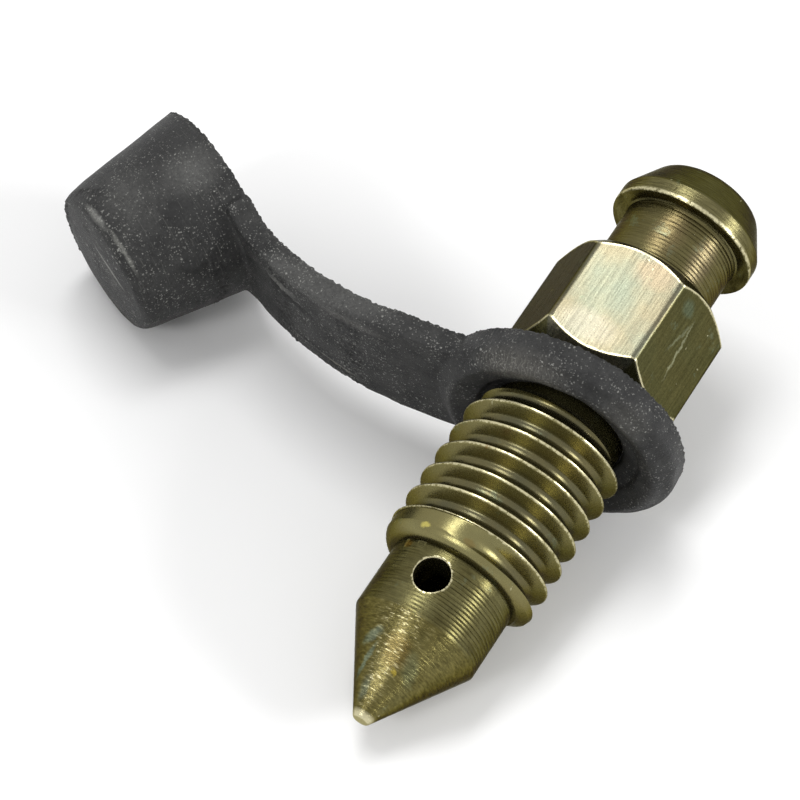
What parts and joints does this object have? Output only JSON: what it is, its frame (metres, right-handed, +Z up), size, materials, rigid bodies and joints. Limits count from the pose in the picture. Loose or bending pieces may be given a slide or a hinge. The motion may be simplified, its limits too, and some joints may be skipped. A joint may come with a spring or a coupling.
{
  "type": "bleeder screw",
  "caption": "Hollow bleeder screw with a conical seat, cross hole, short thread, hexagon and hose bead, and a black rubber dust cap tethered by a strap.",
  "frame": {"origin": "middle of the footprint, on the ground it lies on", "axes": "+Z up from the ground, +Y away from the picture's viewpoint, the screw's head lies towards +Y and +X, the cap towards -X"},
  "size_m": [0.0332, 0.0312, 0.0123],
  "materials": {
    "plated_steel": "turned steel, yellow chromate zinc plating, slightly worn",
    "cap_rubber": "matte moulded black rubber, dusty"
  },
  "bodies": {
    "screw": {"bleeder_screw": "plated_steel"},
    "cap": {"dust_cap": "cap_rubber"}
  },
  "joints": [
    {"name": "cap_swivel", "type": "hinge", "parent": "screw", "child": "cap", "pos_m": [0.00807, -0.0005, 0.0059], "axis": [0.4314, 0.8722, 0.2305], "continuous": true}
  ]
}
